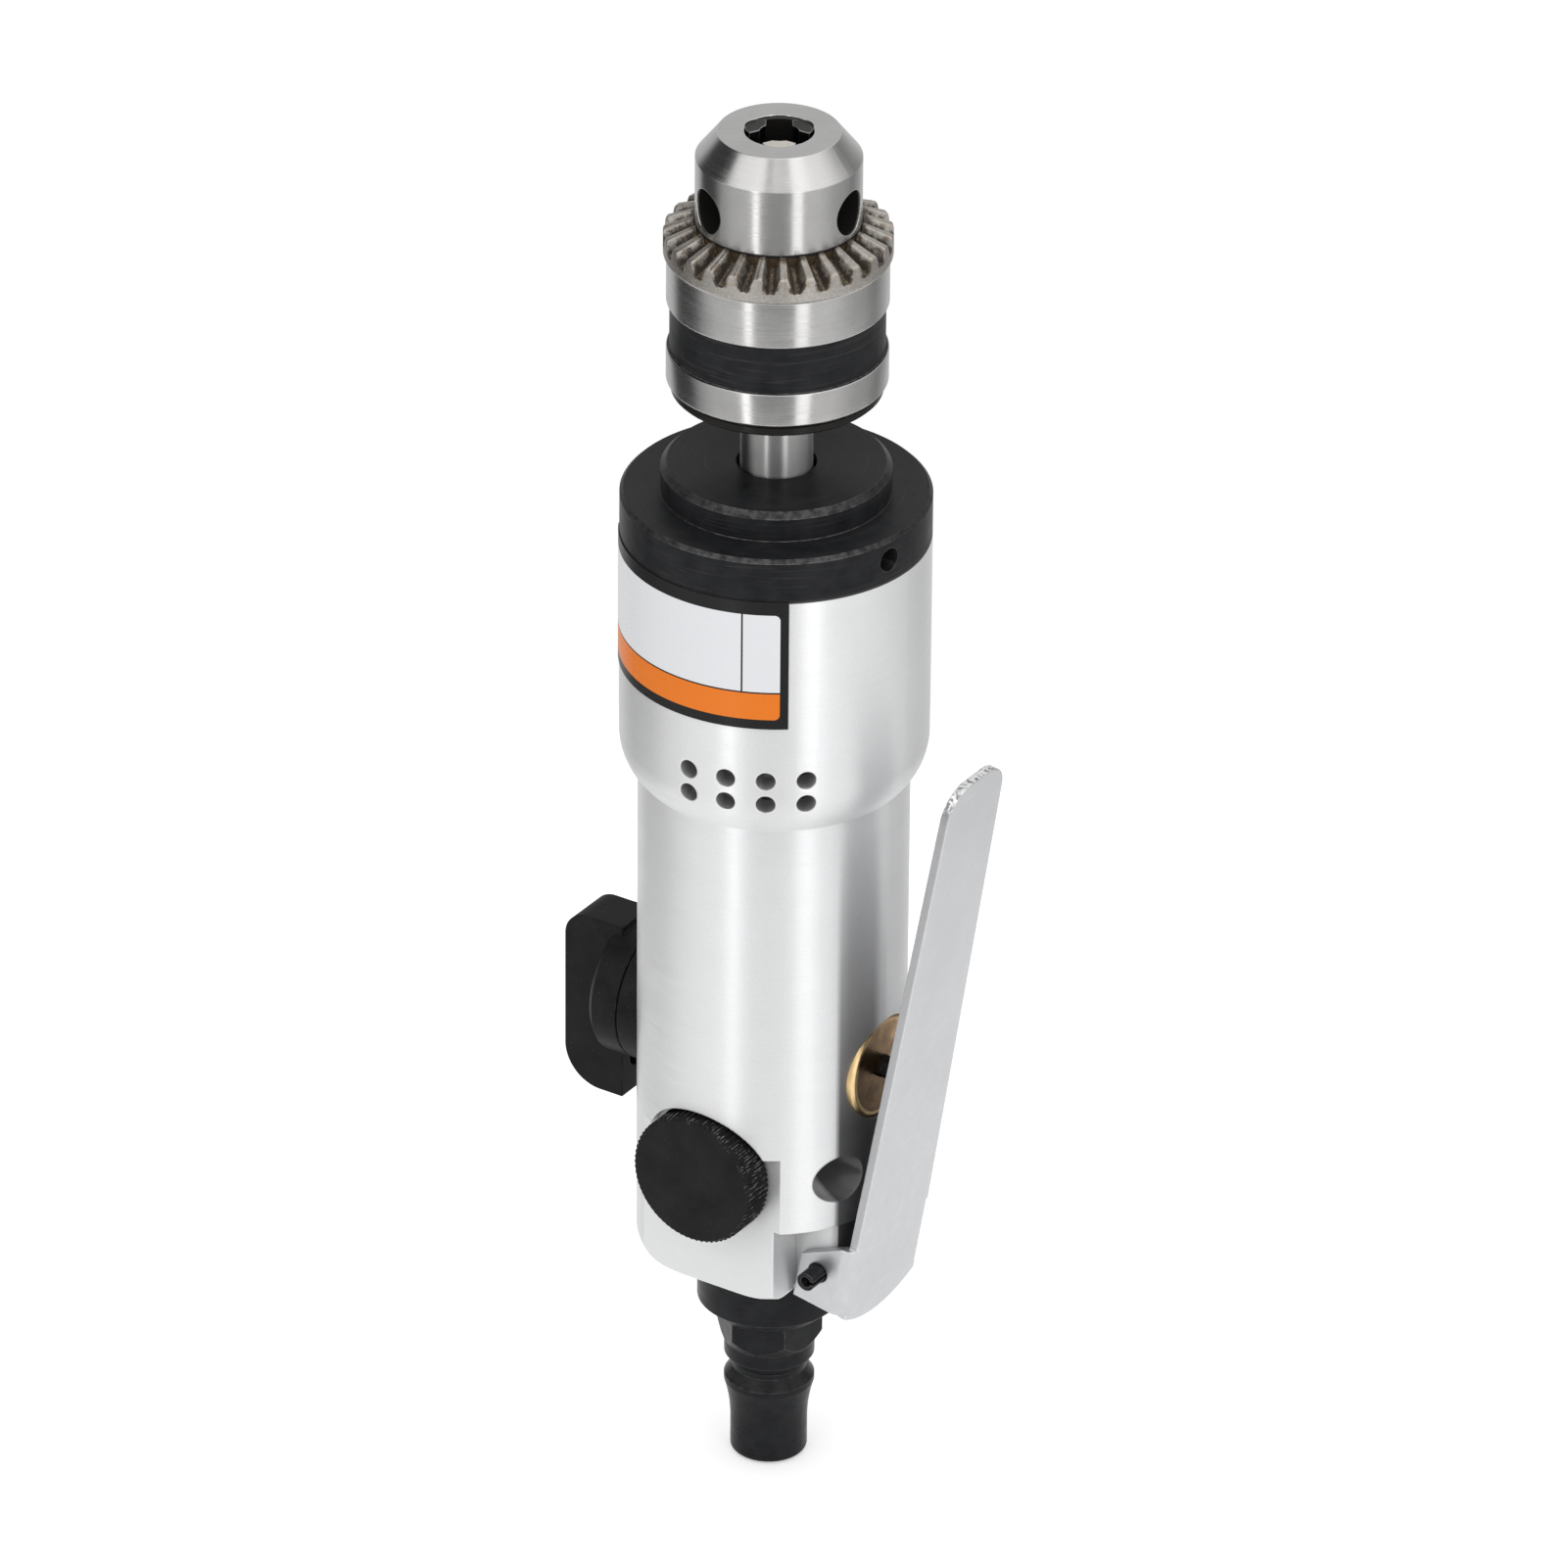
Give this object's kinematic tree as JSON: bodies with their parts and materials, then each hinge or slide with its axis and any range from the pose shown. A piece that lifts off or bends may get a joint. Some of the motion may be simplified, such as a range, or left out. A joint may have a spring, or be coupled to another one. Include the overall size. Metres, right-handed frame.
{
  "type": "air drill",
  "caption": "Straight air drill with a geared vane motor, lever throttle, reversing knob, air regulator and keyed three-jaw chuck.",
  "frame": {"origin": "middle of the hose plug's round land, on the spindle's axis", "axes": "+Z along the spindle towards the chuck, +X towards the throttle lever, -X towards the reversing knob, -Y towards the air regulator"},
  "size_m": [0.0724, 0.0474, 0.2289],
  "materials": {
    "alloy_body": "satin turned aluminium",
    "alloy_lever": "tumbled aluminium sheet",
    "black_steel": "black oxide",
    "chuck_steel": "turned steel",
    "spindle_steel": "ground steel",
    "gear_steel": "hardened steel",
    "alloy_plate": "machined aluminium",
    "brass": "turned brass",
    "black_knob": "black anodised",
    "vane_laminate": "laminate",
    "rubber": "matt",
    "label": "printed film, blank"
  },
  "bodies": {
    "housing": {"motor_housing": "alloy_body", "front_cap": "black_steel", "spindle_bush": "brass", "ring_gear": "gear_steel", "motor_cylinder": "spindle_steel", "front_end_plate": "alloy_plate", "rear_end_plate": "alloy_plate", "cylinder_dowel": "spindle_steel", "spindle_bearing_outer": "spindle_steel", "rotor_front_bearing_outer": "spindle_steel", "rotor_rear_bearing_outer": "spindle_steel", "throttle_bush": "brass", "throttle_spring": "spindle_steel", "lever_pin": "black_steel", "regulator_screw": "gear_steel", "reverse_sleeve": "brass", "reverse_base": "black_knob", "inlet_bushing": "black_steel", "inlet_screen": "spindle_steel", "hose_plug": "black_steel", "head_label": "label"},
    "spindle": {"spindle": "spindle_steel", "planet_pins": "spindle_steel", "spindle_bearing_inner": "spindle_steel", "chuck_body": "chuck_steel", "chuck_screw": "gear_steel"},
    "spindle_balls": {"spindle_bearing_balls": "spindle_steel"},
    "sleeve": {"chuck_sleeve": "chuck_steel", "jaw_nut": "gear_steel"},
    "jaw_1": {"jaw_1": "chuck_steel"},
    "jaw_2": {"jaw_2": "chuck_steel"},
    "jaw_3": {"jaw_3": "chuck_steel"},
    "planet_1": {"planet_gear_1": "gear_steel"},
    "planet_2": {"planet_gear_2": "gear_steel"},
    "planet_3": {"planet_gear_3": "gear_steel"},
    "rotor": {"rotor": "spindle_steel", "vanes": "vane_laminate", "sun_pinion": "gear_steel", "rotor_front_bearing_inner": "spindle_steel", "rotor_rear_bearing_inner": "spindle_steel"},
    "rotor_front_balls": {"rotor_front_bearing_balls": "spindle_steel"},
    "rotor_rear_balls": {"rotor_rear_bearing_balls": "spindle_steel"},
    "lever": {"throttle_lever": "alloy_lever"},
    "valve": {"throttle_valve": "gear_steel", "throttle_seal": "rubber"},
    "reverse": {"reverse_knob": "black_knob", "reverse_spool": "gear_steel", "reverse_seal": "rubber", "reverse_screw": "black_steel"},
    "regulator": {"regulator_knob": "black_knob", "regulator_stem": "brass", "regulator_seal": "rubber"}
  },
  "joints": [
    {"name": "spindle_spin", "type": "hinge", "parent": "housing", "child": "spindle", "pos_m": [0, 0, 0.18285], "axis": [0, 0, 1], "continuous": true},
    {"name": "rotor_spin", "type": "hinge", "parent": "housing", "child": "rotor", "pos_m": [0, 0, 0.10585], "axis": [0, 0, 1], "continuous": true},
    {"name": "spindle_balls_orbit", "type": "hinge", "parent": "housing", "child": "spindle_balls", "pos_m": [0, 0, 0.15085], "axis": [0, 0, 1], "continuous": true},
    {"name": "rotor_front_balls_orbit", "type": "hinge", "parent": "housing", "child": "rotor_front_balls", "pos_m": [0, 0, 0.12685], "axis": [0, 0, 1], "continuous": true},
    {"name": "rotor_rear_balls_orbit", "type": "hinge", "parent": "housing", "child": "rotor_rear_balls", "pos_m": [0, 0, 0.08685], "axis": [0, 0, 1], "continuous": true},
    {"name": "planet_1_spin", "type": "hinge", "parent": "spindle", "child": "planet_1", "pos_m": [0.0108, 0, 0.13785], "axis": [0, 0, 1], "continuous": true},
    {"name": "planet_2_spin", "type": "hinge", "parent": "spindle", "child": "planet_2", "pos_m": [-0.0054, 0.00935, 0.13785], "axis": [0, 0, 1], "continuous": true},
    {"name": "planet_3_spin", "type": "hinge", "parent": "spindle", "child": "planet_3", "pos_m": [-0.0054, -0.00935, 0.13785], "axis": [0, 0, 1], "continuous": true},
    {"name": "sleeve_turn", "type": "hinge", "parent": "spindle", "child": "sleeve", "pos_m": [0, 0, 0.20185], "axis": [0, 0, -1], "range_deg": [-1755, 1980]},
    {"name": "jaw_1_slide", "type": "slide", "parent": "spindle", "child": "jaw_1", "axis": [-0.1389, 0.2139, 0.9669], "range_m": [-0.0078, 0.0088]},
    {"name": "jaw_2_slide", "type": "slide", "parent": "spindle", "child": "jaw_2", "axis": [-0.1158, -0.2273, 0.9669], "range_m": [-0.0078, 0.0088]},
    {"name": "jaw_3_slide", "type": "slide", "parent": "spindle", "child": "jaw_3", "axis": [0.2547, 0.0133, 0.9669], "range_m": [-0.0078, 0.0088]},
    {"name": "lever_press", "type": "hinge", "parent": "housing", "child": "lever", "pos_m": [0.016, 0, 0.03905], "axis": [0, -1, 0], "range_deg": [0, 6], "stiffness_Nm_per_rad": 1, "springref_deg": -22.92},
    {"name": "throttle_slide", "type": "slide", "parent": "housing", "child": "valve", "axis": [-1, 0, 0], "range_m": [0, 0.00356], "deforming": ["throttle_spring"]},
    {"name": "reverse_turn", "type": "hinge", "parent": "housing", "child": "reverse", "pos_m": [-0.025, 0, 0.07185], "axis": [-1, 0, 0], "range_deg": [-45, 45]},
    {"name": "regulator_turn", "type": "hinge", "parent": "housing", "child": "regulator", "pos_m": [0, -0.0195, 0.05565], "axis": [0, -1, 0], "range_deg": [0, 180]}
  ],
  "couplings": [
    {"joint": "rotor_spin", "follows": "spindle_spin", "ratio": 4.5},
    {"joint": "spindle_balls_orbit", "follows": "spindle_spin", "ratio": 0.38},
    {"joint": "rotor_front_balls_orbit", "follows": "spindle_spin", "ratio": 1.5643},
    {"joint": "rotor_rear_balls_orbit", "follows": "spindle_spin", "ratio": 1.5643},
    {"joint": "planet_1_spin", "follows": "spindle_spin", "ratio": -2.8},
    {"joint": "planet_2_spin", "follows": "spindle_spin", "ratio": -2.8},
    {"joint": "planet_3_spin", "follows": "spindle_spin", "ratio": -2.8},
    {"joint": "jaw_1_slide", "follows": "sleeve_turn", "m_per_rad": 0.00025465},
    {"joint": "jaw_2_slide", "follows": "sleeve_turn", "m_per_rad": 0.00025465},
    {"joint": "jaw_3_slide", "follows": "sleeve_turn", "m_per_rad": 0.00025465},
    {"joint": "throttle_slide", "follows": "lever_press", "m_per_rad": 0.0338}
  ]
}
